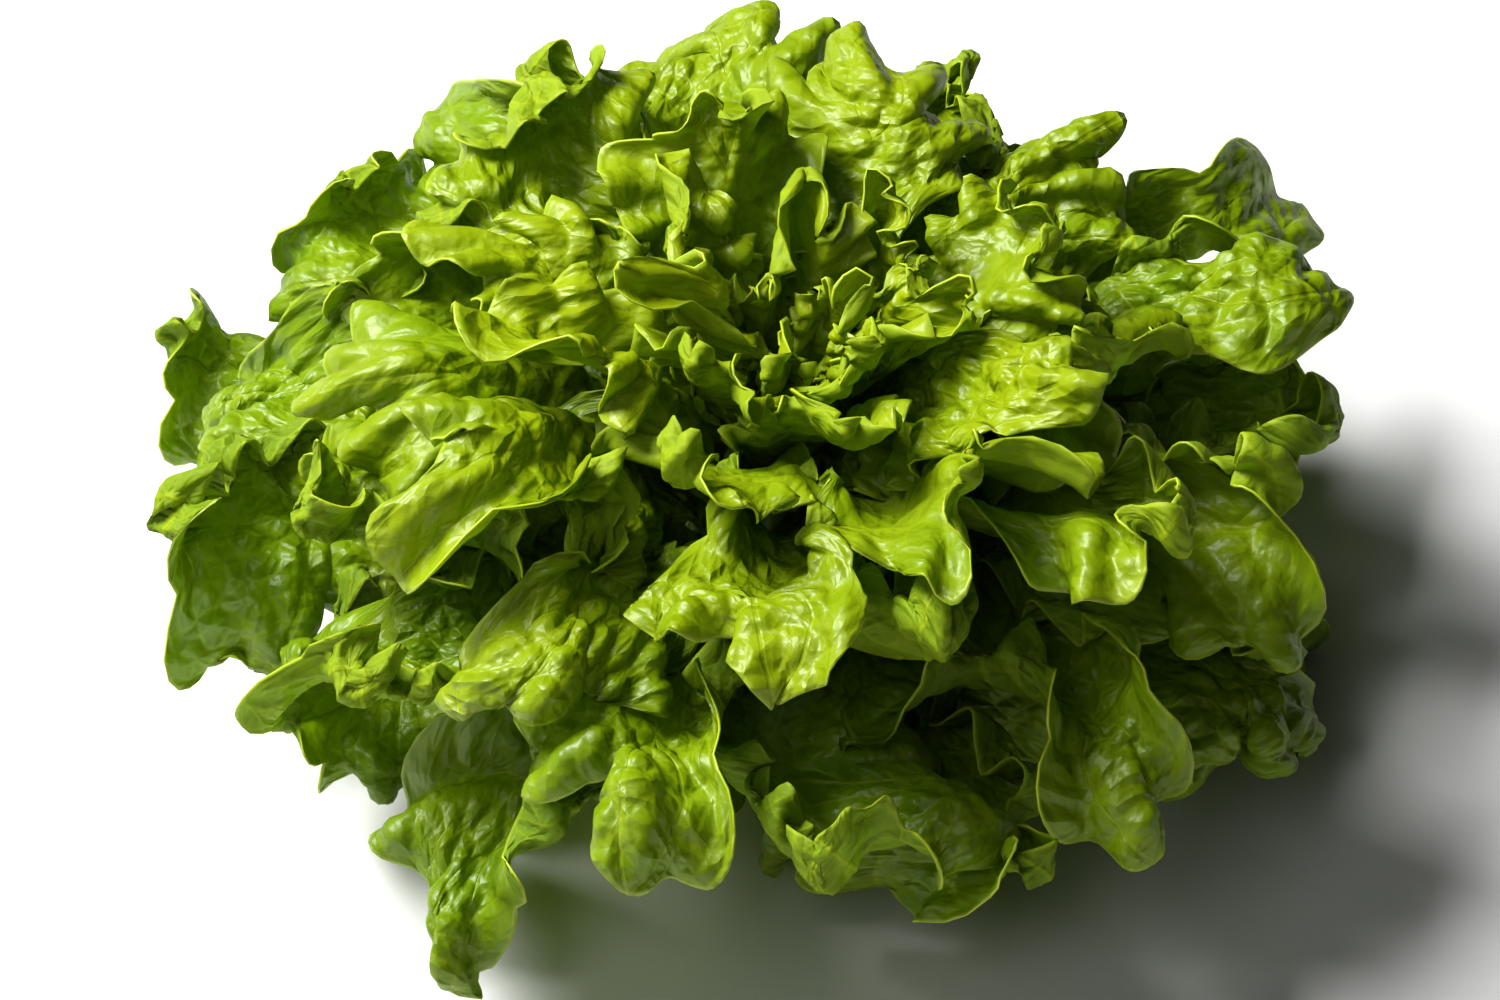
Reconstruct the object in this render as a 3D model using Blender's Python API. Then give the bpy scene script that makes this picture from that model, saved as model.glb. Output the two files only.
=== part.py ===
"""Green oak leaf lettuce: a cut stem with a spiral of lobed, ruffled leaves round an open heart.

Metres, +Z up. The origin is the middle of the cut face of the stem, on which the head stands.
"""

import math
import random
from collections import namedtuple

import bmesh
import bpy

# The head: how many leaves it has, the turn from each leaf to the next one out, and how far it leans
# to the right and to the front for each metre of height.
LEAF_COUNT = 54
GOLDEN_TURN = math.radians(137.508)
FIRST_AZIMUTH = math.radians(260)
SEED = 11
LEAN_RIGHT = 0.10
LEAN_FRONT = 0.20

# The dome that the tips of the leaves reach, with a dip over the heart.
HEAD_RADIUS = 0.151
DOME_BASE = 0.034
DOME_RISE = 0.106
HEART_DIP = 0.026
HEART_RADIUS = 0.036
HEART_TIPS = math.radians(7)
RIM_TIPS = math.radians(103)

# The stem: a rounded cone, cut flat at the bottom. Leaves grow from its side.
STEM_RADIUS = 0.021
STEM_HEIGHT = 0.066
STEM_TAPER = 1.5
STEM_SIDES = 20
STEM_RINGS = 7
STEM_POLE = 1e-5
LOWEST_ROOT = 0.009
HIGHEST_ROOT = 0.056
ROOT_GAP = 0.0004

# A leaf's midrib is an arc from the stem to the dome. It leaves the stem at this slope.
HEART_SLOPE = math.radians(88)
RIM_SLOPE = math.radians(30)
REACH_SPREAD = 0.10

# Each leaf keeps to a cell of its own, so that no two leaves cross: how far round from its midrib it goes,
# how many places in or out, and how many places out its left side lies, which it reaches within lean_turn.
Cell = namedtuple("Cell", "turn places lean lean_turn")
HEART_CELL = Cell(math.radians(41), 1.4, -0.5, math.radians(10))
JOINING_CELL = Cell(math.radians(25.8), 1.1, 0.0, math.radians(6))
OUTER_CELL = Cell(math.radians(25.8), 2.6, 0.75, math.radians(6))
HEART_LEAVES = 14
JOINING_LEAVES = 3
CELL_EDGE = 4

# The whole head is wavy too, and its waves pass from each leaf to the next: waves round the head,
# then radians from heart to rim and from root to tip, and where the wave starts.
HEAD_WAVES = ((7, 5.1, 4.0, 0.0), (11, -4.2, 3.0, 1.1))
HEAD_WAVE_PLACES = 1.3

# Last, the head is gently pushed about as a whole: radians for each metre along X, Y and Z, where the wave
# starts, and its push. The push grows from nothing by the stem to its full size further out.
WARP_WAVES = (
    ((95, 40, 30), 0.4, (0.0009, -0.0022, 0.0036)),
    ((-50, 90, -45), 2.1, (0.0040, 0.0014, 0.0009)),
    ((30, -65, 100), 4.4, (-0.0014, 0.0036, 0.0018)),
)
WARP_START = 0.025
WARP_FULL = 0.075

# The blade: a narrow stalk, then rounded lobes on both sides and at the tip, as on an oak's leaf.
# Rows run from the midrib out to the edge. They turn towards the tip from FAN_START on, and close round it.
STALK_END = 0.15
BLADE_FULL = 0.56
STALK_HALF_WIDTH = 0.0065
HEART_STALK = 0.45
HEART_WIDTH = 0.008
WIDTH_SHARE = 0.37
SIDE_LOBES = 3
LOBE_DEPTH = 0.55
LOBE_SHIFT = 0.25
FAN_START = 0.35
TIP_LOBE = 0.23
TIP_ROUNDING = 3
BLADE_THICKNESS = 0.0007
RIB_THICKNESS = 0.0030
RIB_END = 0.7
RIB_FULL_PLACE = 0.67

# The ruffle: each lobe is bent up or down from the leaf's keel by its own angle, and each leaf leans.
# With CURL over 1, a lobe bends most at its edge.
KEEL = math.radians(-16)
LOBE_BEND = math.radians(105)
LEAST_BEND = 0.6
CURL = 1.6
BEND_START = 0.1
BEND_FULL = 0.5
LEAF_LEAN = 0.6

# Rows and columns of the grid that each leaf is shaped from: fewer in the small leaves of the heart.
HEART_GRID = (1, 7, 4)
LEAF_GRID = (2, 10, 6)
ROW_STEPS = 6
SEAM = 1e-6


def share(low, high, t):
    """The value a share t of the way from low to high."""
    return low + (high - low) * t


def smooth(t):
    """0 below 0, 1 above 1 and a soft step between."""
    t = min(max(t, 0.0), 1.0)
    return t * t * (3 - 2 * t)


def soft_limit(value, limit):
    """The value, held softly inside plus or minus the limit."""
    return value / (1 + abs(value / limit) ** CELL_EDGE) ** (1 / CELL_EDGE)


def warped(x, y, z):
    """Where a point of the even head is in the uneven one."""
    amount = smooth((math.hypot(x, y) - WARP_START) / (WARP_FULL - WARP_START))
    moved = [x, y, z]
    for (by_x, by_y, by_z), start, push in WARP_WAVES:
        wave = amount * math.sin(by_x * x + by_y * y + by_z * z + start)
        moved = [value + wave * part for value, part in zip(moved, push)]
    return moved


def leaning(x, y, z):
    """Where a point of the upright head is in the leaning one."""
    return x + LEAN_RIGHT * z, y - LEAN_FRONT * z, z


def stem_radius(z):
    """The stem's radius at a height above its cut face."""
    return STEM_RADIUS * (1 - (z / STEM_HEIGHT) ** STEM_TAPER)


def root_of(place):
    """(distance from the head's axis, height) of the root of the leaf at that place."""
    z = share(HIGHEST_ROOT, LOWEST_ROOT, place)
    return stem_radius(z) + ROOT_GAP, z


def tip_of(place):
    """(distance from the head's axis, height) of the tip of the leaf at that place."""
    down = share(HEART_TIPS, RIM_TIPS, place)
    r = HEAD_RADIUS * math.sin(down)
    dip = HEART_DIP * math.exp(-((r / HEART_RADIUS) ** 2))
    return r, DOME_BASE + DOME_RISE * math.cos(down) - dip


class Midrib:
    """The arc that a leaf's midrib follows. Its place is 0 at the heart and 1 at the rim."""

    def __init__(self, place):
        self.root_r, self.root_z = root_of(place)
        tip_r, tip_z = tip_of(place)
        rise = tip_z - self.root_z
        run = tip_r - self.root_r
        self.slope = share(HEART_SLOPE, RIM_SLOPE, place)
        self.bend = 2 * (self.slope - math.atan2(rise, run))
        self.radius = math.hypot(rise, run) / (2 * math.sin(self.bend / 2))
        self.length = self.radius * self.bend

    def at(self, along):
        """(distance from the axis, height) on the arc, from 0 at the root to 1 at the tip, and past it."""
        turned = self.slope - self.bend * along
        return (
            self.root_r + self.radius * (math.sin(self.slope) - math.sin(turned)),
            self.root_z + self.radius * (math.cos(turned) - math.cos(self.slope)),
        )


def head_wave(azimuth, place, along):
    """How many places the whole stack of leaves is pushed out there."""
    waves = sum(
        math.sin(around * azimuth + out * place + up * along + start) for around, out, up, start in HEAD_WAVES
    )
    return HEAD_WAVE_PLACES * smooth(along) * waves


def fan_at(v):
    """How far the rows have turned towards the tip at v: 0 while they run straight out, and 1 at the tip."""
    return max(0.0, (v - FAN_START) / (1 - FAN_START))


class Leaf:
    """One leaf's place on the spiral and its own draw of size, lobes and ruffle."""

    def __init__(self, index):
        draw = random.Random(SEED * 1000 + index)
        self.index = index
        self.name = f"leaf_{index + 1:02d}"
        self.step = 1 / (LEAF_COUNT - 1)
        self.place = index * self.step
        self.azimuth = FIRST_AZIMUTH + GOLDEN_TURN * index
        self.midrib = Midrib(self.place)
        self.next_out = Midrib(self.place + self.step)
        self.reach = 1 + draw.uniform(-REACH_SPREAD, REACH_SPREAD)
        self.full_width = HEART_WIDTH + WIDTH_SHARE * tip_of(self.place)[0]
        self.stalk_width = STALK_HALF_WIDTH * share(HEART_STALK, 1, self.place)
        self.shifts = {side: draw.uniform(-LOBE_SHIFT, LOBE_SHIFT) for side in (-1, 1)}
        tip_bend = self.draw_bend(draw)
        left_bends = [self.draw_bend(draw) for _ in range(SIDE_LOBES + 1)]
        right_bends = [self.draw_bend(draw) for _ in range(SIDE_LOBES + 1)]
        self.bends = {-1: [tip_bend] + left_bends, 1: [tip_bend] + right_bends}
        self.lean = draw.uniform(-1, 1) * LEAF_LEAN
        if index < HEART_LEAVES:
            self.cell = HEART_CELL
        elif index < HEART_LEAVES + JOINING_LEAVES:
            self.cell = JOINING_CELL
        else:
            self.cell = OUTER_CELL

    @staticmethod
    def draw_bend(draw):
        """An angle to bend one lobe by, up or down."""
        return draw.choice((-1, 1)) * draw.uniform(LEAST_BEND, 1) * LOBE_BEND

    def lobe_at(self, v, side):
        """How many lobes down that side v lies: 0 is the middle of the tip's lobe, and 1 of the next one."""
        from_tip = (1 - v) / (1 - STALK_END) * (SIDE_LOBES + 0.5)
        return max(0.0, from_tip + self.shifts[side] * smooth(from_tip))

    def row_length(self, v, side):
        """The distance from the midrib to the blade's edge at v, 0 at the root and 1 at the tip."""
        opened = smooth((v - STALK_END) / (BLADE_FULL - STALK_END))
        full = share(self.full_width, TIP_LOBE * self.midrib.length, smooth(fan_at(v)))
        lobe = self.lobe_at(v, side)
        roundness = math.sqrt(max(0.0, 1 - (2 * (lobe - round(lobe))) ** 2))
        return share(self.stalk_width, full, opened) * (1 - LOBE_DEPTH * (1 - roundness) * opened)

    def bend_at(self, v, side):
        """The angle that the lobe at v is bent by, which changes near the notches."""
        lobe = self.lobe_at(v, side)
        above = min(int(lobe), SIDE_LOBES)
        bend = share(self.bends[side][above], self.bends[side][above + 1], smooth(2 * (lobe - above) - 0.5))
        return bend * smooth((v - BEND_START) / (BEND_FULL - BEND_START))

    def row(self, u, v):
        """(distance along the row, height out of the blade) at u: -1 is the left edge and 1 the right one."""
        side = 1 if u > 0 else -1
        step = self.row_length(v, side) * abs(u) / ROW_STEPS
        bend = self.bend_at(v, side)
        flat = outwards = 0.0
        for at in range(ROW_STEPS):
            turn = KEEL + bend * (abs(u) * (at + 0.5) / ROW_STEPS) ** CURL
            flat += math.cos(turn) * step
            outwards += math.sin(turn) * step
        return flat, outwards

    def point(self, u, v):
        """Where in the head the leaf's middle surface is at (u, v)."""
        flat, outwards = self.row(u, v)
        row_angle = math.tau / 4 * (1 - fan_at(v) ** TIP_ROUNDING)
        across = math.copysign(flat * math.sin(row_angle), u)
        along = (v - TIP_LOBE * fan_at(v) ** 2) * self.reach + flat * math.cos(row_angle) / self.midrib.length
        r_here, z_here = self.midrib.at(along)
        r_out, z_out = self.next_out.at(along)
        places = outwards / math.hypot(r_out - r_here, z_out - z_here)
        places += self.lean * self.cell.places * across / self.full_width
        places = soft_limit(places, self.cell.places)
        turn = soft_limit(across / r_here, self.cell.turn)
        places += self.cell.lean * min(max(turn / self.cell.lean_turn, -1.0), 1.0)
        azimuth = self.azimuth + turn
        places += head_wave(azimuth, self.place, along)
        r, z = Midrib(self.place + places * self.step).at(along)
        return leaning(*warped(r * math.cos(azimuth), r * math.sin(azimuth), z))

    def rib(self, u, v):
        """How thick the rib is there, from 0 in the blade to 1 at the root's middle."""
        return (1 - abs(u)) ** 2 * (1 - smooth(v / RIB_END)) * smooth(self.place / RIB_FULL_PLACE)


def material(name, colour, roughness):
    """A Principled BSDF with that colour and roughness."""
    made = bpy.data.materials.new(name)
    made.use_nodes = True
    shader = made.node_tree.nodes["Principled BSDF"]
    shader.inputs["Base Color"].default_value = (*colour, 1)
    shader.inputs["Roughness"].default_value = roughness
    return made


def add_object(name, mesh, finish):
    """Links an object of that mesh and finish to the scene."""
    mesh.materials.append(finish)
    made = bpy.data.objects.new(name, mesh)
    bpy.context.scene.collection.objects.link(made)
    return made


def build_leaf(leaf, finish):
    """A grid of one face's triangles, moved to the leaf's shape and thickened on its under side."""
    shape = bmesh.new()
    stalk_rows, blade_rows, columns = HEART_GRID if leaf.index < HEART_LEAVES else LEAF_GRID
    rows = stalk_rows + blade_rows
    bmesh.ops.create_grid(shape, x_segments=columns, y_segments=rows, size=1)
    bmesh.ops.triangulate(shape, faces=shape.faces)
    rib = shape.verts.layers.deform.verify()
    for vert in shape.verts:
        row = (vert.co.y + 1) / 2 * rows
        if row < stalk_rows:
            v = STALK_END * row / stalk_rows
        else:
            v = share(STALK_END, 1, (row - stalk_rows) / blade_rows)
        vert[rib][0] = leaf.rib(vert.co.x, v)
        vert.co = leaf.point(vert.co.x, v)
    bmesh.ops.remove_doubles(shape, verts=shape.verts, dist=SEAM)
    mesh = bpy.data.meshes.new(leaf.name)
    shape.to_mesh(mesh)
    shape.free()
    made = add_object(leaf.name, mesh, finish)
    made.vertex_groups.new(name="rib")
    shell = made.modifiers.new("Thickness", "SOLIDIFY")
    shell.thickness = RIB_THICKNESS
    shell.offset = 1
    shell.vertex_group = "rib"
    shell.thickness_vertex_group = BLADE_THICKNESS / RIB_THICKNESS
    return made


def build_stem(finish):
    """The stem: a profile spun round the Z axis, then leaned with the head."""
    shape = bmesh.new()
    heights = [STEM_HEIGHT * (ring / STEM_RINGS) for ring in range(STEM_RINGS + 1)]
    profile = [shape.verts.new((stem_radius(z), 0, z)) for z in heights]
    foot = shape.verts.new((0, 0, 0))
    edges = [shape.edges.new(pair) for pair in zip([foot] + profile, profile)]
    bmesh.ops.spin(
        shape,
        geom=[foot] + profile + edges,
        cent=(0, 0, 0),
        axis=(0, 0, 1),
        angle=math.tau,
        steps=STEM_SIDES,
        use_merge=True,
    )
    bmesh.ops.remove_doubles(shape, verts=shape.verts, dist=STEM_POLE)
    bmesh.ops.recalc_face_normals(shape, faces=shape.faces)
    for vert in shape.verts:
        vert.co = leaning(*vert.co)
    mesh = bpy.data.meshes.new("stem")
    shape.to_mesh(mesh)
    shape.free()
    mesh.shade_smooth()
    return add_object("stem", mesh, finish)


def main():
    for old in list(bpy.data.objects):
        bpy.data.objects.remove(old)
    build_stem(material("stem_flesh", (0.72, 0.80, 0.52), 0.5))
    green = material("leaf_green", (0.22, 0.42, 0.02), 0.45)
    for index in range(LEAF_COUNT):
        build_leaf(Leaf(index), green)


main()
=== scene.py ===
"""The looks of a head of green oak leaf lettuce, built round its solids.

Every leaf is grown again by the rule that its solid follows, on a fine grid, with scallops, frills,
blisters and veins, and the stem gets its ridges and its browned cut face. Metres, +Z up, with the origin
in the middle of that face.
"""

import math
import random
from collections import namedtuple

import bmesh
import bpy
import numpy as np
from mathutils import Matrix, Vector


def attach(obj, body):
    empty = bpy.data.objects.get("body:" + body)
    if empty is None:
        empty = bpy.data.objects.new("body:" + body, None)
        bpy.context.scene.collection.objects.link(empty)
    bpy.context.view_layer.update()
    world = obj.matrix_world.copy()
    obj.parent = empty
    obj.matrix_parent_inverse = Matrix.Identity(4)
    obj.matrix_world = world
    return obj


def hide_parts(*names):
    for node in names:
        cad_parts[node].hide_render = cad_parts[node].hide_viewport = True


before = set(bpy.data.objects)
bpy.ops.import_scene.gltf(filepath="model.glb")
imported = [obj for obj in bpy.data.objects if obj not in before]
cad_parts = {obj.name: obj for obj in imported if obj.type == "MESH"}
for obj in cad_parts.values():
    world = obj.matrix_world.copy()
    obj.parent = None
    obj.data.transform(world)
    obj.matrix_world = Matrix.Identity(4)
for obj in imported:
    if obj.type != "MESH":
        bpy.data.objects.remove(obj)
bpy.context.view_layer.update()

# The head, as its solids have it, apart from the shape of a leaf's lobes.

LEAF_COUNT = 54
GOLDEN_TURN = math.radians(137.508)
FIRST_AZIMUTH = math.radians(260)
SEED = 11
LEAN_RIGHT = 0.10
LEAN_FRONT = 0.20

HEAD_RADIUS = 0.151
DOME_BASE = 0.034
DOME_RISE = 0.106
HEART_DIP = 0.026
HEART_RADIUS = 0.036
HEART_TIPS = math.radians(7)
RIM_TIPS = math.radians(103)

STEM_RADIUS = 0.021
STEM_HEIGHT = 0.066
STEM_TAPER = 1.5
LOWEST_ROOT = 0.009
HIGHEST_ROOT = 0.056
ROOT_GAP = 0.0004

HEART_SLOPE = math.radians(88)
RIM_SLOPE = math.radians(30)
REACH_SPREAD = 0.10

Cell = namedtuple("Cell", "turn places lean lean_turn")
HEART_CELL = Cell(math.radians(41), 1.4, -0.5, math.radians(10))
JOINING_CELL = Cell(math.radians(25.8), 1.1, 0.0, math.radians(6))
OUTER_CELL = Cell(math.radians(25.8), 2.6, 0.75, math.radians(6))
HEART_LEAVES = 14
JOINING_LEAVES = 3
CELL_EDGE = 4
HEAD_WAVES = ((7, 5.1, 4.0, 0.0), (11, -4.2, 3.0, 1.1))
HEAD_WAVE_PLACES = 1.3
WARP_WAVES = (
    ((95, 40, 30), 0.4, (0.0009, -0.0022, 0.0036)),
    ((-50, 90, -45), 2.1, (0.0040, 0.0014, 0.0009)),
    ((30, -65, 100), 4.4, (-0.0014, 0.0036, 0.0018)),
)
WARP_START = 0.025
WARP_FULL = 0.075

STALK_END = 0.15
BLADE_FULL = 0.56
STALK_HALF_WIDTH = 0.0065
HEART_STALK = 0.45
HEART_WIDTH = 0.008
WIDTH_SHARE = 0.37
SIDE_LOBES = 3
LOBE_DEPTH = 0.52  # shallower than the solid's
LOBE_END = 0.995  # short of 1, where a lobe's rounding would end in an endless slope
LOBE_SHIFT = 0.25
FAN_START = 0.35
TIP_LOBE = 0.23
TIP_ROUNDING = 3

KEEL = math.radians(-16)
LOBE_BEND = math.radians(150)  # stronger than the solid's, which can't curl so far without crossing itself
LEAST_BEND = 0.6
CURL = 1.3  # over 1, a lobe curls most at its margin
BEND_START = 0.1
BEND_FULL = 0.5
LEAF_LEAN = 0.6

# The fine form of a leaf, which its solid leaves out.

BLADE_THICKNESS = 0.0005
RIB_THICKNESS = 0.0032
RIB_END = 0.8
RIB_FULL_PLACE = 0.67
RIB_WIDTH = 0.12

ROOM = 2.6  # how far a leaf may leave the middle of its share of the spiral, against its solid
SCALLOP_DEPTH = 0.02
SCALLOPS = 3.1  # a lobe
FRILL_HEIGHT = 0.0047
FRILLS = 1.75  # a lobe
RUFFLE_HEIGHT = 0.0008
RUFFLES = 4.3  # a lobe
FRILL_RISE = 2.2  # how fast a frill dies away from the margin
HEART_FRILL = 0.65  # how high the frills of the heart are, against those of the outer leaves
HEART_FRILLS = 1.5  # how much closer together they are
HEART_BEND = 0.45  # how much weaker its lobes bend
HEART_NOTCHES = 0.5  # how much shallower the notches between its lobes are
OUTER_PLACE = 0.55  # the place in the spiral where the heart has given way to the outer leaves
BLISTER_SIZE = 0.0095
BLISTER_HEIGHT = 0.0017
BLISTER_JITTER = 0.8
CREASE_WIDTH = 0.6  # how wide the crease between two blisters is, against their size
FLAT_MARGIN = 0.006  # how far in from the edge the blisters reach their full height
PUFFINESS = (0.35, 1.1)  # how high the blisters of a leaf are, from the smoothest leaf on
VEIN_DIP = 0.0004
VEIN_DIP_WIDTH = 0.0016
VEIN_SLANT = 0.45

RESTING_HEIGHT = 0.005  # under this, a leaf bends to lie on the floor

ROW_STEPS = 24
HEART_GRID = (28, 60)
RIM_GRID = (50, 104)
BASE_ROWS = 0.12  # the share of the rows that the hidden lower part of a leaf gets
BASE_END = 0.3
CELL_SPREAD = (127.1, 311.7)  # with the next two, what scatters the numbers of noise_at
SEED_SPREAD = 74.7
NOISE_SPREAD = 43758.5453
SEAM = 1e-6
NO_AREA = 1e-12  # under this, a face of the grid has no direction


def share(low, high, t):
    """The value a share t of the way from low to high."""
    return low + (high - low) * t


def smooth(t):
    """0 up to t = 0, 1 from t = 1, and an even ease between them."""
    t = np.clip(t, 0.0, 1.0)
    return t * t * (3 - 2 * t)


def soft_limit(value, limit):
    """The value, bent so that it never passes the limit."""
    return value / (1 + np.abs(value / limit) ** CELL_EDGE) ** (1 / CELL_EDGE)


def stem_radius(z):
    return STEM_RADIUS * (1 - (z / STEM_HEIGHT) ** STEM_TAPER)


def tip_of(place):
    """Where the tip of a leaf stands: its distance from the axis, and its height."""
    down = share(HEART_TIPS, RIM_TIPS, place)
    r = HEAD_RADIUS * np.sin(down)
    dip = HEART_DIP * np.exp(-((r / HEART_RADIUS) ** 2))
    return r, DOME_BASE + DOME_RISE * np.cos(down) - dip


class Midribs:
    """The arcs that midribs follow, from the stem to the dome, one for each place in the spiral."""

    def __init__(self, place):
        self.root_z = share(HIGHEST_ROOT, LOWEST_ROOT, place)
        self.root_r = stem_radius(self.root_z) + ROOT_GAP
        tip_r, tip_z = tip_of(place)
        rise, run = tip_z - self.root_z, tip_r - self.root_r
        self.slope = share(HEART_SLOPE, RIM_SLOPE, place)
        self.bend = 2 * (self.slope - np.arctan2(rise, run))
        self.radius = np.hypot(rise, run) / (2 * np.sin(self.bend / 2))
        self.length = self.radius * self.bend

    def at(self, along):
        """The point a share along of the way from root to tip: its distance from the axis, and its height."""
        turned = self.slope - self.bend * along
        r = self.root_r + self.radius * (np.sin(self.slope) - np.sin(turned))
        return r, self.root_z + self.radius * (np.cos(turned) - np.cos(self.slope))


def head_wave(azimuth, place, along):
    """How many places the whole stack of leaves waves in or out there."""
    waves = sum(
        np.sin(around * azimuth + out * place + up * along + start) for around, out, up, start in HEAD_WAVES
    )
    return HEAD_WAVE_PLACES * smooth(along) * waves


def fan_at(v):
    """0 where the rows of a leaf are still parallel, up to 1 at its tip, round which they fan."""
    return np.maximum(0.0, (v - FAN_START) / (1 - FAN_START))


def row_angle(v):
    """The angle from the midrib to the row at v: a right angle, down to none at the tip."""
    return math.tau / 4 * (1 - fan_at(v) ** TIP_ROUNDING)


def row_start(v):
    """Where on the midrib the row at v starts, as a share of the way from root to tip."""
    return v - TIP_LOBE * fan_at(v) ** 2


def noise_at(cells, seed):
    """A number from 0 to 1 for each whole-numbered cell, the same each run."""
    across, along = CELL_SPREAD
    mixed = np.sin(cells[..., 0] * across + cells[..., 1] * along + seed * SEED_SPREAD) * NOISE_SPREAD
    return mixed - np.floor(mixed)


def blisters(flat, seed):
    """0 on the creases between blisters and 1 on their tops, for points of the leaf laid flat, in metres."""
    spots = flat / BLISTER_SIZE
    home = np.floor(spots)
    nearest = np.full(flat.shape[:-1], 9.0)
    second = nearest.copy()
    for across in (-1, 0, 1):
        for along in (-1, 0, 1):
            cell = home + (across, along)
            jitter = np.stack([noise_at(cell, seed), noise_at(cell, seed + 5)], axis=-1)
            middle = cell + 0.5 + BLISTER_JITTER * (jitter - 0.5)
            away = np.linalg.norm(spots - middle, axis=-1)
            second = np.minimum(second, np.maximum(nearest, away))
            nearest = np.minimum(nearest, away)
    return smooth((second - nearest) / CREASE_WIDTH)


class Leaf:
    """One leaf. u runs from -1 to 1 across it, edge to edge, and v from 0 at the root to 1 at the tip."""

    def __init__(self, index):
        draw = random.Random(SEED * 1000 + index)
        self.name = f"leaf_{index + 1:02d}"
        self.step = 1 / (LEAF_COUNT - 1)
        self.place = index * self.step
        self.azimuth = FIRST_AZIMUTH + GOLDEN_TURN * index
        self.midrib = Midribs(self.place)
        self.next_out = Midribs(self.place + self.step)
        self.reach = 1 + draw.uniform(-REACH_SPREAD, REACH_SPREAD)
        self.full_width = HEART_WIDTH + WIDTH_SHARE * tip_of(self.place)[0]
        self.stalk_width = STALK_HALF_WIDTH * share(HEART_STALK, 1, self.place)
        self.shifts = {side: draw.uniform(-LOBE_SHIFT, LOBE_SHIFT) for side in (-1, 1)}
        tip_bend = self.draw_bend(draw)
        left_bends = [self.draw_bend(draw) for _ in range(SIDE_LOBES + 1)]
        right_bends = [self.draw_bend(draw) for _ in range(SIDE_LOBES + 1)]
        self.bends = {-1: np.array([tip_bend] + left_bends), 1: np.array([tip_bend] + right_bends)}
        self.lean = draw.uniform(-1, 1) * LEAF_LEAN
        self.phases = [draw.uniform(0, math.tau) for _ in range(3)]
        self.puffiness = draw.uniform(*PUFFINESS)
        self.seed = index
        if index < HEART_LEAVES:
            self.cell = HEART_CELL
        elif index < HEART_LEAVES + JOINING_LEAVES:
            self.cell = JOINING_CELL
        else:
            self.cell = OUTER_CELL

    def draw_bend(self, draw):
        return draw.choice((-1, 1)) * draw.uniform(LEAST_BEND, 1) * LOBE_BEND

    def as_outer(self, in_heart):
        """The strength of something that is in_heart in the heart and 1 on the outer leaves."""
        return share(in_heart, 1, smooth(self.place / OUTER_PLACE))

    def opened(self, v):
        """0 on the stalk, up to 1 where the blade has its full width."""
        return smooth((v - STALK_END) / (BLADE_FULL - STALK_END))

    def by_side(self, u, values):
        return np.where(u > 0, values[1], values[-1])

    def lobe_at(self, u, v):
        """Counts the lobes down from the tip: a whole number in the middle of a lobe, a half in a notch."""
        from_tip = (1 - v) / (1 - STALK_END) * (SIDE_LOBES + 0.5)
        return np.maximum(0.0, from_tip + self.by_side(u, self.shifts) * smooth(from_tip))

    def row_length(self, u, v):
        """How long the row at v is, from the midrib to the edge."""
        lobe = self.lobe_at(u, v)
        opened = self.opened(v)
        full = share(self.full_width, TIP_LOBE * self.midrib.length, smooth(fan_at(v)))
        from_middle = 2 * np.abs(lobe - np.round(lobe))
        lobe_round = np.sqrt(1 - np.minimum(from_middle, LOBE_END) ** 2)
        scallop = np.cos(math.tau * SCALLOPS * lobe) * SCALLOP_DEPTH * opened
        width = share(self.stalk_width, full, opened) * (1 + scallop)
        return width * (1 - LOBE_DEPTH * self.as_outer(HEART_NOTCHES) * (1 - lobe_round) * opened)

    def bend_at(self, u, v):
        """How far the row at v turns by its edge. Each lobe turns as a whole, up or down."""
        lobe = self.lobe_at(u, v)
        above = np.minimum(lobe.astype(int), SIDE_LOBES)
        upper = self.by_side(u, {side: bends[above] for side, bends in self.bends.items()})
        lower = self.by_side(u, {side: bends[above + 1] for side, bends in self.bends.items()})
        bend = share(upper, lower, smooth(2 * (lobe - above) - 0.5))
        return bend * self.as_outer(HEART_BEND) * smooth((v - BEND_START) / (BEND_FULL - BEND_START))

    def frill_at(self, u, v):
        """How far the frills lift the leaf there, in metres."""
        margin = self.lobe_at(u, v) * np.where(u > 0, 1, -1)
        waves = math.tau * self.as_outer(HEART_FRILLS) * margin
        frill = FRILL_HEIGHT * np.sin(FRILLS * waves + self.phases[0])
        ruffle = RUFFLE_HEIGHT * np.sin(RUFFLES * waves + self.phases[1])
        return self.as_outer(HEART_FRILL) * self.opened(v) * (frill + ruffle) * np.abs(u) ** FRILL_RISE

    def row(self, u, v):
        """Where the row stands: across the leaf from its midrib, and outwards from the head."""
        step = self.row_length(u, v) * np.abs(u) / ROW_STEPS
        bend = self.bend_at(u, v)
        flat = outwards = 0.0
        for at in range(ROW_STEPS):
            out = np.abs(u) * (at + 0.5) / ROW_STEPS
            turn = KEEL + bend * out**CURL
            flat = flat + np.cos(turn) * step
            outwards = outwards + np.sin(turn) * step
        return flat, outwards

    def pattern(self, u, v):
        """The leaf laid flat, in metres."""
        length = self.row_length(u, v) * np.abs(u)
        across = np.copysign(length * np.sin(row_angle(v)), u)
        along = row_start(v) * self.midrib.length + length * np.cos(row_angle(v))
        return np.stack([across, along], axis=-1)

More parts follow.
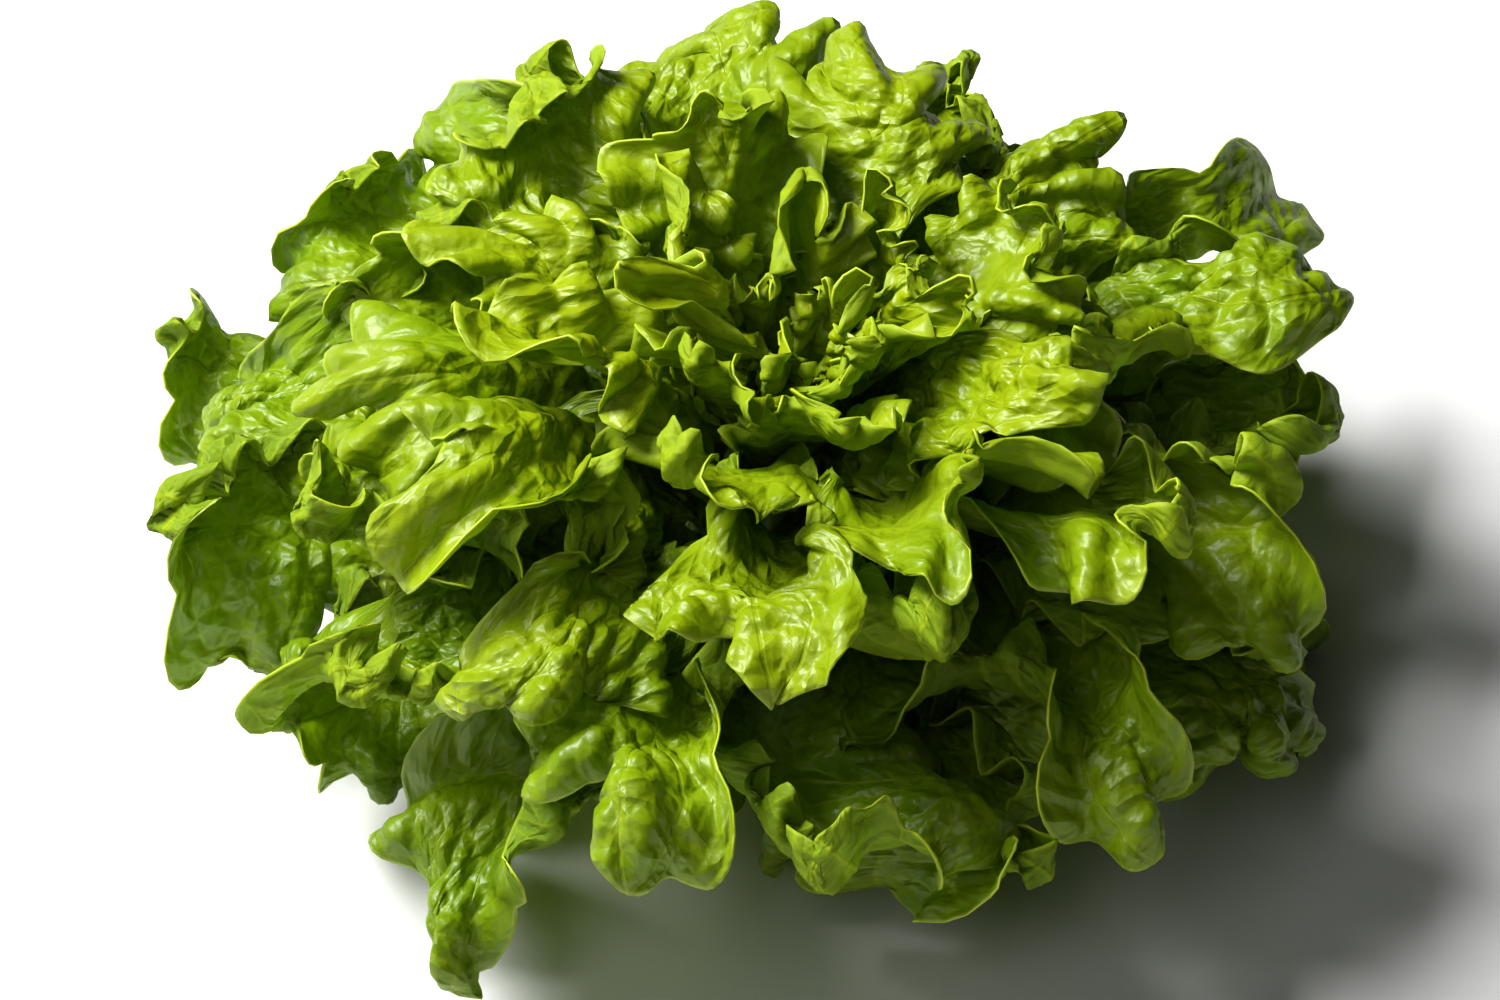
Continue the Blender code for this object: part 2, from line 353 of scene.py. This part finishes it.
    def points(self, u, v):
        """The leaf's upper face in the head, without its blisters."""
        flat, outwards = self.row(u, v)
        across = np.copysign(flat * np.sin(row_angle(v)), u)
        along = row_start(v) * self.reach + flat * np.cos(row_angle(v)) / self.midrib.length
        r_here, z_here = self.midrib.at(along)
        r_out, z_out = self.next_out.at(along)
        places = outwards / np.hypot(r_out - r_here, z_out - z_here)
        places += self.lean * self.cell.places * across / self.full_width
        places = soft_limit(places, self.cell.places * ROOM)
        turn = soft_limit(across / r_here, self.cell.turn)
        places += self.cell.lean * np.clip(turn / self.cell.lean_turn, -1.0, 1.0)
        azimuth = self.azimuth + turn
        places += head_wave(azimuth, self.place, along)
        r, z = Midribs(self.place + places * self.step).at(along)
        return leaning(warped(np.stack([r * np.cos(azimuth), r * np.sin(azimuth), z], axis=-1)))

    def rib(self, u, v):
        """1 along the thickest part of the midrib, down to 0 on the blade."""
        width = share(1.0, RIB_WIDTH, self.opened(v))
        along = (1 - smooth(v / RIB_END)) * smooth(self.place / RIB_FULL_PLACE)
        return np.clip(1 - np.abs(u) / width, 0, 1) * along

    def inset(self, u, v):
        """How far the edge of the leaf is, along the row."""
        return (1 - np.abs(u)) * self.row_length(u, v)

    def vein_lobe(self, u, v):
        """As lobe_at, but whole along the side veins, which slant up from the midrib to the lobes' ends."""
        return self.lobe_at(u, v) - VEIN_SLANT * (1 - np.abs(u))


def warped(points):
    """Where the points of the even head are in the uneven one."""
    from_axis = np.hypot(points[..., 0], points[..., 1])
    amount = smooth((from_axis - WARP_START) / (WARP_FULL - WARP_START))
    moved = points.copy()
    for steps, start, push in WARP_WAVES:
        moved += (amount * np.sin(points @ np.array(steps) + start))[..., None] * np.array(push)
    return moved


def leaning(points):
    """Where the points of the upright head are in the leaning one."""
    x, y, z = np.moveaxis(points, -1, 0)
    return np.stack([x + LEAN_RIGHT * z, y - LEAN_FRONT * z, z], axis=-1)


def resting(points):
    """The same points, with those near the floor or under it laid on it."""
    lowest = 2 * BLADE_THICKNESS
    deep = np.minimum(points[..., 2] - RESTING_HEIGHT, 0.0) / (RESTING_HEIGHT - lowest)
    laid = points.copy()
    laid[..., 2] = np.where(deep < 0, lowest + (RESTING_HEIGHT - lowest) * np.exp(deep), points[..., 2])
    return laid


def normals_of(points):
    """The direction that the under side of a grid of points faces."""
    across = np.gradient(points, axis=1)
    along = np.gradient(points, axis=0)
    normal = np.cross(across, along)
    return normal / np.maximum(np.linalg.norm(normal, axis=-1, keepdims=True), NO_AREA)


def object_of(name, shape, materials):
    """An object in the scene, made of the finished shape."""
    mesh = bpy.data.meshes.new(name)
    shape.to_mesh(mesh)
    shape.free()
    for material in materials:
        mesh.materials.append(material)
    made = bpy.data.objects.new(name, mesh)
    bpy.context.scene.collection.objects.link(made)
    return made


def grid_sizes(leaf):
    """How many columns and rows of faces a leaf gets, fewest in the heart."""
    size = smooth(leaf.place * 2)
    return (int(share(heart, rim, size)) for heart, rim in zip(HEART_GRID, RIM_GRID))


def places_on_leaf(shape, columns, rows):
    """The u and the v of every vertex of an even grid, with fewer rows low on the leaf, which is hidden."""
    flat = np.array([vertex.co[:2] for vertex in shape.verts]).reshape(rows + 1, columns + 1, 2)
    row = (flat[..., 1] + 1) / 2
    base = row / BASE_ROWS * BASE_END
    blade = share(BASE_END, 1, (row - BASE_ROWS) / (1 - BASE_ROWS))
    return flat[..., 0], np.where(row < BASE_ROWS, base, blade)


def vein_pitch(leaf, u, v):
    """How far apart the side veins are there, in metres."""
    row_gap = np.linalg.norm(np.gradient(leaf.pattern(u, v), axis=0), axis=-1)
    return row_gap / np.maximum(np.abs(np.gradient(leaf.vein_lobe(u, v), axis=0)), SEAM)


def fine_points(leaf, u, v):
    """The upper face of the leaf, with its frills, its veins pressed in and its blisters raised."""
    points = leaf.points(u, v)
    points += normals_of(points) * leaf.frill_at(u, v)[..., None]
    vein = leaf.vein_lobe(u, v)
    from_vein = np.abs(vein - np.round(vein)) * vein_pitch(leaf, u, v)
    dip = VEIN_DIP * np.exp(-((from_vein / VEIN_DIP_WIDTH) ** 2))
    puff = BLISTER_HEIGHT * leaf.puffiness * blisters(leaf.pattern(u, v), leaf.seed)
    puff *= smooth(leaf.inset(u, v) / FLAT_MARGIN)
    points += normals_of(points) * ((dip - puff) * leaf.opened(v))[..., None]
    points[-1] = (points[-1] + points[-1, ::-1]) / 2  # both halves of the last row meet at the tip
    return resting(points)


def keep_layers(shape, layers):
    """Keeps numbers with every vertex, for the material to read."""
    for name, values in layers.items():
        layer = shape.verts.layers.float.new(name)
        for vertex, value in zip(shape.verts, values.ravel()):
            vertex[layer] = value


def keep_pattern(shape, pattern):
    """Keeps the leaf laid flat as the UV map of its patterns."""
    spots = pattern.reshape(-1, 2)
    uvs = shape.loops.layers.uv.new("pattern")
    shape.verts.index_update()
    for face in shape.faces:
        for loop in face.loops:
            loop[uvs].uv = spots[loop.vert.index]


def thicken(blade):
    """Gives the blade its thickness, which grows along the midrib with the weights of the vertices."""
    blade.vertex_groups.new(name="rib")
    solid = blade.modifiers.new("thickness", "SOLIDIFY")
    solid.thickness = RIB_THICKNESS
    solid.vertex_group = "rib"
    solid.thickness_vertex_group = BLADE_THICKNESS / RIB_THICKNESS
    solid.offset = 1
    solid.material_offset = 1
    solid.material_offset_rim = 2


def build_leaf(leaf, finishes):
    """One leaf. Its finishes are those of its under side, its upper face and its rim."""
    columns, rows = grid_sizes(leaf)
    shape = bmesh.new()
    bmesh.ops.create_grid(shape, x_segments=columns, y_segments=rows, size=1)
    u, v = places_on_leaf(shape, columns, rows)
    rib = leaf.rib(u, v)
    layers = {
        "inset": leaf.inset(u, v),
        "vein": leaf.vein_lobe(u, v),
        "pitch": vein_pitch(leaf, u, v),
        "midline": np.abs(u) * leaf.row_length(u, v),
        "rib": rib,
        "reach": v,
        "age": np.full_like(u, leaf.place),
        "puffiness": np.full_like(u, leaf.puffiness),
    }
    keep_layers(shape, layers)
    weights = shape.verts.layers.deform.verify()
    for vertex, point, weight in zip(shape.verts, fine_points(leaf, u, v).reshape(-1, 3), rib.ravel()):
        vertex.co = point
        vertex[weights][0] = weight
    keep_pattern(shape, leaf.pattern(u, v))
    for face in shape.faces:
        face.smooth = True
    bmesh.ops.remove_doubles(shape, verts=shape.verts, dist=SEAM)
    blade = object_of(leaf.name + "_blade", shape, finishes)
    thicken(blade)
    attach(blade, "root")
    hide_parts(leaf.name)


# The fine form of the stem.

STEM_RINGS = 40
STEM_SIDES = 96
CUT_RINGS = 12
CUT_ROUNDING = 0.0009
CUT_GRAIN = 0.00025  # how deep the knife's marks in the cut face are
CUT_MARKS = (900, 420, 3)  # across the cut, along it, and how much they wind
STEM_RIDGES = ((7, 90, 0.0005), (13, -160, 0.00025))  # round the stem, up it, and their height
STEM_POLE = 1e-6


def stem_skin(x, y, z):
    """Where a point of the smooth stem is on the ridged one, which stays inside it."""
    azimuth = math.atan2(y, x)
    ridge = sum(height * (math.sin(around * azimuth + up * z) - 1) for around, up, height in STEM_RIDGES)
    from_axis = math.hypot(x, y)
    grown = 1 + ridge / STEM_RADIUS * min(1.0, z / CUT_ROUNDING)
    across, along, wind = CUT_MARKS
    marks = 1 + math.sin(across * x + wind * math.sin(along * y))
    grain = CUT_GRAIN * marks if z < STEM_POLE else 0.0
    return x * grown, y * grown, z + grain * min(1.0, (STEM_RADIUS - from_axis) / CUT_ROUNDING - 1)


def build_stem(finish):
    """The stem: a profile spun round the Z axis, ridged where leaves grew, and leaned with the head."""
    shape = bmesh.new()
    cut = [((STEM_RADIUS - CUT_ROUNDING) * ring / CUT_RINGS, 0.0) for ring in range(CUT_RINGS + 1)]
    heights = [share(CUT_ROUNDING, STEM_HEIGHT, ring / STEM_RINGS) for ring in range(STEM_RINGS + 1)]
    outline = cut + [(stem_radius(z), z) for z in heights]
    line = [shape.verts.new((r, 0, z)) for r, z in outline]
    edges = [shape.edges.new(pair) for pair in zip(line, line[1:])]
    bmesh.ops.spin(
        shape,
        geom=line + edges,
        cent=(0, 0, 0),
        axis=(0, 0, 1),
        angle=math.tau,
        steps=STEM_SIDES,
        use_merge=True,
    )
    bmesh.ops.remove_doubles(shape, verts=shape.verts, dist=STEM_POLE)
    bmesh.ops.recalc_face_normals(shape, faces=shape.faces)
    for vertex in shape.verts:
        vertex.co = leaning(np.array(stem_skin(*vertex.co)))
    for face in shape.faces:
        face.smooth = True
    stem = object_of("stem_flesh", shape, [finish])
    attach(stem, "root")
    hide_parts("stem")


# Materials.


class Value:
    """A number that the nodes of a material work out. Its operators add Math nodes."""

    def __init__(self, finish, socket):
        self.finish, self.socket = finish, socket

    def math(self, operation, *values):
        return self.finish.node("ShaderNodeMath", {"operation": operation}, dict(enumerate(values)))

    def __add__(self, other):
        return self.math("ADD", self, other)

    def __sub__(self, other):
        return self.math("SUBTRACT", self, other)

    def __mul__(self, other):
        return self.math("MULTIPLY", self, other)

    def __pow__(self, other):
        return self.math("POWER", self, other)

    def __rsub__(self, other):
        return self.math("SUBTRACT", other, self)

    __radd__ = __add__
    __rmul__ = __mul__

    def absolute(self):
        return self.math("ABSOLUTE", self)

    def rounded(self):
        return self.math("ROUND", self)

    def at_least(self, other):
        return self.math("MAXIMUM", self, other)

    def fall(self, near, far):
        """1 up to near, easing down to 0 at far."""
        return self.finish.node(
            "ShaderNodeMapRange",
            {"interpolation_type": "SMOOTHSTEP"},
            {"Value": self, "From Min": near, "From Max": far, "To Min": 1.0, "To Max": 0.0},
        )

    def rise(self, low, high):
        """0 up to low, easing up to 1 at high."""
        return self.finish.node(
            "ShaderNodeMapRange",
            {"interpolation_type": "SMOOTHSTEP"},
            {"Value": self, "From Min": low, "From Max": high, "To Min": 0.0, "To Max": 1.0},
        )


class Finish:
    """A material while it is made."""

    def __init__(self, name):
        self.material = bpy.data.materials.new(name)
        self.material.use_nodes = True
        self.tree = self.material.node_tree
        self.tree.nodes.clear()

    def node(self, kind, settings=None, inputs=None, output=0):
        """Adds a node, with its settings and then its inputs, and returns one of its outputs."""
        made = self.tree.nodes.new(kind)
        for name, value in (settings or {}).items():
            setattr(made, name, value)
        for name, value in (inputs or {}).items():
            if isinstance(value, Value):
                self.tree.links.new(value.socket, made.inputs[name])
            else:
                made.inputs[name].default_value = value
        return Value(self, made.outputs[output])

    def attribute(self, name):
        return self.node("ShaderNodeAttribute", {"attribute_name": name}, output="Fac")

    def mix(self, amount, first, second):
        """The first colour, with the second over it by the amount."""
        return self.node("ShaderNodeMix", {"data_type": "RGBA"}, {0: amount, 6: first, 7: second}, output=2)

    def noise(self, place, scale, detail=2.0):
        return self.node("ShaderNodeTexNoise", {}, {"Vector": place, "Scale": scale, "Detail": detail})

    def net(self, place, scale):
        """How far the nearest thread of an irregular net is, against the size of its meshes."""
        return self.node(
            "ShaderNodeTexVoronoi",
            {"feature": "DISTANCE_TO_EDGE", "voronoi_dimensions": "2D"},
            {"Vector": place, "Scale": scale},
        )

    def bump(self, height, distance, normal=None):
        inputs = {"Height": height, "Distance": distance, "Strength": 1.0}
        if normal is not None:
            inputs["Normal"] = normal
        return self.node("ShaderNodeBump", {}, inputs)

    def surface(self, shader):
        out = self.tree.nodes.new("ShaderNodeOutputMaterial")
        self.tree.links.new(shader.socket, out.inputs["Surface"])
        return self.material


def colour(red, green, blue):
    return (red, green, blue, 1.0)


# The greens run from the deep green of the old outer leaves to the paler green of the young heart. Along each
# leaf the same colours are also painted shade and painted light: the deep green towards the root, low among
# the other leaves, and the young green towards the lit tip.
DEEP_GREEN_AND_SHADE = colour(0.080, 0.165, 0.0015)
MID_GREEN = colour(0.200, 0.320, 0.0015)
YOUNG_AND_LIT_GREEN = colour(0.412, 0.500, 0.004)
VEIN_GREEN = colour(0.420, 0.530, 0.014)
RIB_WHITE = colour(0.540, 0.660, 0.270)
EDGE_GREEN = colour(0.455, 0.580, 0.045)
UNDER_GREEN = colour(0.190, 0.300, 0.022)
UNDER_YOUNG_AND_LIT = colour(0.338, 0.450, 0.022)
THROUGH_GREEN = colour(0.57, 0.75, 0.008)

SIDE_VEIN = (0.0002, 0.0009)  # from the middle of the vein, where it starts to fade and where it ends
MID_VEIN = (0.0006, 0.0018)
PALE_MARGIN = (0.0003, 0.0012)
FINE_MESHES = 330.0  # a metre, as all scales of patterns are
COARSE_MESHES = 135.0
FINE_THREAD = (0.01, 0.09)  # against the meshes, where a thread of the net starts to fade and where it ends
COARSE_THREAD = (0.01, 0.07)
FINE_PALENESS = 0.25
COARSE_PALENESS = 0.55
UPPER_PALENESS = 0.38  # how far all veins take the leaf's colour to theirs
UNDER_PALENESS = 0.75
MARGIN_PALENESS = 0.8
RIB_FLESH = (0.05, 0.5)  # how thick the rib is where its white starts and where it is full

YOUNG_BY_PLACE = 0.75  # how much younger the first leaf looks than the last
PAINTED_LIGHT_BY_REACH = 0.55  # how much lighter and yellower the tip of a leaf is painted than its root: painted light at the tip and painted shade towards the root, low among the other leaves
YOUNG_BY_CHANCE = 0.9
YOUNG_START = -0.25
DEEP_TO_MID = (-0.1, 0.55)
MID_TO_YOUNG = (0.35, 1.15)
MOTTLE = 55.0
MOTTLE_DEPTH = 0.8
MOTTLE_START = 0.15
BROAD_MOTTLE = 18.0
GRAIN = 900.0
COARSE_PUFF = (0.0, 0.42)  # against the meshes, where a puff between the threads starts and where it is full
FINE_PUFF = (0.0, 0.4)
FINE_PUFFS = 0.22
VEIN_PRESS = 0.15
UPPER_BUMP = 0.0012
UNDER_BUMP = -0.0009
GRAIN_BUMP = 0.00008
MOTTLE_ROUGHNESS = 0.16
UPPER_ROUGHNESS = 0.34
UNDER_ROUGHNESS = 0.46
UPPER_GLOSS = 0.65
UNDER_GLOSS = 0.2
THROUGH = 0.32  # the share of the light that goes through the leaf


def leaf_finish(name, under):
    """The skin of a leaf: its upper face, or its paler under side."""
    finish = Finish(name)
    place = finish.node("ShaderNodeUVMap", {"uv_map": "pattern"})
    space = finish.node("ShaderNodeTexCoord", output="Object")
    age = finish.attribute("age")
    inset = finish.attribute("inset")
    vein = finish.attribute("vein")
    pitch = finish.attribute("pitch")
    rib = finish.attribute("rib")
    midline = finish.attribute("midline")
    reach = finish.attribute("reach")

    side_vein = ((vein - vein.rounded()).absolute() * pitch).fall(*SIDE_VEIN)
    mid_vein = midline.fall(*MID_VEIN)
    fine_net = finish.net(place, FINE_MESHES)
    coarse_net = finish.net(place, COARSE_MESHES)
    net = fine_net.fall(*FINE_THREAD) * FINE_PALENESS + coarse_net.fall(*COARSE_THREAD) * COARSE_PALENESS
    veins = side_vein.at_least(mid_vein).at_least(net)
    mottle = finish.noise(space, MOTTLE, 3.0)
    broad = finish.noise(space, BROAD_MOTTLE)
    # Paler in the young heart and here and there by chance. The reach term makes each leaf paler and yellower
    # towards its tip: painted light there, and painted shade towards the root.
    youth_and_painted_light = (1.0 - age) * YOUNG_BY_PLACE + reach * PAINTED_LIGHT_BY_REACH
    youth_and_painted_light = youth_and_painted_light + (broad - 0.5) * YOUNG_BY_CHANCE + YOUNG_START
    if under:
        skin = finish.mix(youth_and_painted_light.rise(0.0, 1.0), UNDER_GREEN, UNDER_YOUNG_AND_LIT)
        skin = finish.mix(veins * UNDER_PALENESS, skin, VEIN_GREEN)
    else:
        skin = finish.mix(youth_and_painted_light.rise(*DEEP_TO_MID), DEEP_GREEN_AND_SHADE, MID_GREEN)
        skin = finish.mix(youth_and_painted_light.rise(*MID_TO_YOUNG), skin, YOUNG_AND_LIT_GREEN)
        skin = finish.mix((mottle - 0.5) * MOTTLE_DEPTH + MOTTLE_START, skin, YOUNG_AND_LIT_GREEN)
        skin = finish.mix(veins * UPPER_PALENESS, skin, VEIN_GREEN)
    skin = finish.mix(inset.fall(*PALE_MARGIN) * MARGIN_PALENESS, skin, EDGE_GREEN)
    skin = finish.mix(rib.rise(*RIB_FLESH), skin, RIB_WHITE)

    puff = coarse_net.rise(*COARSE_PUFF) + fine_net.rise(*FINE_PUFF) * FINE_PUFFS - side_vein * VEIN_PRESS
    puff = puff * finish.attribute("puffiness")
    normal = finish.bump(puff, UNDER_BUMP if under else UPPER_BUMP)
    normal = finish.bump(finish.noise(space, GRAIN), GRAIN_BUMP, normal)
    skin_shader = finish.node(
        "ShaderNodeBsdfPrincipled",
        {},
        {
            "Base Color": skin,
            "Roughness": mottle * MOTTLE_ROUGHNESS + (UNDER_ROUGHNESS if under else UPPER_ROUGHNESS),
            "Specular IOR Level": UNDER_GLOSS if under else UPPER_GLOSS,
            "Normal": normal,
        },
    )
    through = finish.node("ShaderNodeBsdfTranslucent", {}, {"Color": THROUGH_GREEN, "Normal": normal})
    return finish.surface(finish.node("ShaderNodeMixShader", {}, {0: THROUGH, 1: skin_shader, 2: through}))


RIM_MOTTLE = 120.0
RIM_ROUGHNESS = (0.4, 0.1)  # the least, and what the mottle adds


def edge_finish():
    """The thin, pale rim of a leaf."""
    finish = Finish("leaf_rim")
    mottle = finish.noise(finish.node("ShaderNodeTexCoord", output="Object"), RIM_MOTTLE)
    skin = finish.mix(mottle, EDGE_GREEN, YOUNG_AND_LIT_GREEN)
    least, more = RIM_ROUGHNESS
    return finish.surface(
        finish.node("ShaderNodeBsdfPrincipled", {}, {"Base Color": skin, "Roughness": mottle * more + least})
    )


STEM_GREEN = colour(0.420, 0.560, 0.190)
STEM_PALE = colour(0.700, 0.740, 0.470)
CUT_CREAM = colour(0.740, 0.690, 0.450)
CUT_BROWN = colour(0.330, 0.170, 0.060)
CUT_PITH = colour(0.800, 0.790, 0.640)

FIBRES = 900.0
FIBRE_STRETCH = (1.0, 1.0, 0.12)
STEM_MOTTLE = 260.0
STEM_BUMP = 0.0003
FIBRE_BUMP = 0.6  # the fibres' part of it, and the mottle has the rest
GREENING = (0.004, 0.04)  # up the stem, where its green starts and where it is full
FULL_GREEN = 0.8
GREEN_FIBRES = (0.35, 0.75)
FIBRE_DEPTH = 0.5
PITH = (0.004, 0.011)  # from the axis, where the pith starts to give way to the flesh and where it ends
VESSELS_IN, VESSELS, VESSELS_OUT = 0.0105, 0.0125, 0.0150  # from the axis, the ring of milk vessels
BROWN_RIM = (0.0175, 0.0208)
VESSEL_BROWN = 0.55
BROWN_SPOTS = (0.25, 0.7)
FULL_BROWN = 0.8
STEM_ROUGHNESS = (0.38, 0.2)
STEM_GLOSS = 0.4
CUT_BROW = (0.0005, 0.0012)  # above the cut face, where its colours give way to the skin's


def stem_finish():
    """The pale, fibrous stem, with a cut face that is browned at its rim and in the ring of milk vessels."""
    finish = Finish("stem_flesh")
    space = finish.node("ShaderNodeTexCoord", output="Object")
    x, y, z = (finish.node("ShaderNodeSeparateXYZ", {}, {0: space}, output=axis) for axis in "XYZ")
    from_axis = (x * x + y * y) ** 0.5
    drawn_out = finish.node("ShaderNodeMapping", {}, {"Vector": space, "Scale": FIBRE_STRETCH})
    fibres = finish.noise(drawn_out, FIBRES)
    mottle = finish.noise(space, STEM_MOTTLE, 4.0)
    skin = finish.mix(z.rise(*GREENING) * FULL_GREEN, STEM_PALE, STEM_GREEN)
    skin = finish.mix(fibres.rise(*GREEN_FIBRES) * FIBRE_DEPTH, skin, STEM_GREEN)
    vessels = from_axis.rise(VESSELS_IN, VESSELS) * from_axis.fall(VESSELS, VESSELS_OUT)
    browned = (vessels * VESSEL_BROWN + from_axis.rise(*BROWN_RIM)) * mottle.rise(*BROWN_SPOTS)
    cut = finish.mix(from_axis.rise(*PITH), CUT_PITH, CUT_CREAM)
    cut = finish.mix(browned * FULL_BROWN, cut, CUT_BROWN)
    on_cut = z.fall(*CUT_BROW)
    bump = finish.bump(fibres * FIBRE_BUMP + mottle * (1.0 - FIBRE_BUMP), STEM_BUMP)
    least, more = STEM_ROUGHNESS
    flesh = finish.node(
        "ShaderNodeBsdfPrincipled",
        {},
        {
            "Base Color": finish.mix(on_cut, skin, cut),
            "Roughness": mottle * more + least,
            "Specular IOR Level": STEM_GLOSS,
            "Normal": bump,
        },
    )
    return finish.surface(flesh)


FLOOR_GREY = colour(0.86, 0.86, 0.85)
FLOOR_ROUGHNESS = 0.7


def floor_finish():
    finish = Finish("studio_floor")
    return finish.surface(
        finish.node("ShaderNodeBsdfPrincipled", {}, {"Base Color": FLOOR_GREY, "Roughness": FLOOR_ROUGHNESS})
    )


# The stage.

FLOOR_SIZE = 6.0
CAMERA_ELEVATION = math.radians(45)
CAMERA_DISTANCE = 1.35
CAMERA_AIM = Vector((0.0016, 0.0, 0.033))
CAMERA_LENS = 144

Light = namedtuple("Light", "name place size power")
KEY_LIGHT = Light("key", Vector((-0.84, 0.24, 1.20)), 0.7, 39)
FILL_LIGHT = Light("fill", Vector((-0.5, -1.0, 1.3)), 0.8, 3.4)
WORLD_STRENGTH = 0.025


def build_floor():
    shape = bmesh.new()
    bmesh.ops.create_grid(shape, x_segments=1, y_segments=1, size=FLOOR_SIZE / 2)
    object_of("floor", shape, [floor_finish()])


def aim(thing, place, target):
    thing.location = place
    thing.rotation_mode = "QUATERNION"
    thing.rotation_quaternion = (target - place).to_track_quat("-Z", "Y")
    bpy.context.scene.collection.objects.link(thing)


def add_camera():
    back = Vector((0, -math.cos(CAMERA_ELEVATION), math.sin(CAMERA_ELEVATION)))
    camera = bpy.data.objects.new("camera", bpy.data.cameras.new("camera"))
    camera.data.lens = CAMERA_LENS
    aim(camera, CAMERA_AIM + back * CAMERA_DISTANCE, CAMERA_AIM)
    bpy.context.scene.camera = camera


def add_light(light):
    lamp = bpy.data.objects.new(light.name, bpy.data.lights.new(light.name, "AREA"))
    lamp.data.size = light.size
    lamp.data.energy = light.power
    aim(lamp, light.place, CAMERA_AIM)


def add_world():
    world = bpy.data.worlds.new("studio")
    world.use_nodes = True
    backdrop = world.node_tree.nodes["Background"]
    backdrop.inputs["Color"].default_value = colour(1.0, 1.0, 1.0)
    backdrop.inputs["Strength"].default_value = WORLD_STRENGTH
    bpy.context.scene.world = world


def main():
    add_camera()
    add_world()
    add_light(KEY_LIGHT)
    add_light(FILL_LIGHT)
    build_floor()
    finishes = [leaf_finish("leaf_under", True), leaf_finish("leaf_upper", False), edge_finish()]
    build_stem(stem_finish())
    for index in range(LEAF_COUNT):
        build_leaf(Leaf(index), finishes)
    bpy.context.scene.view_settings.view_transform = "Standard"
    bpy.context.scene.view_settings.look = "Medium High Contrast"


main()
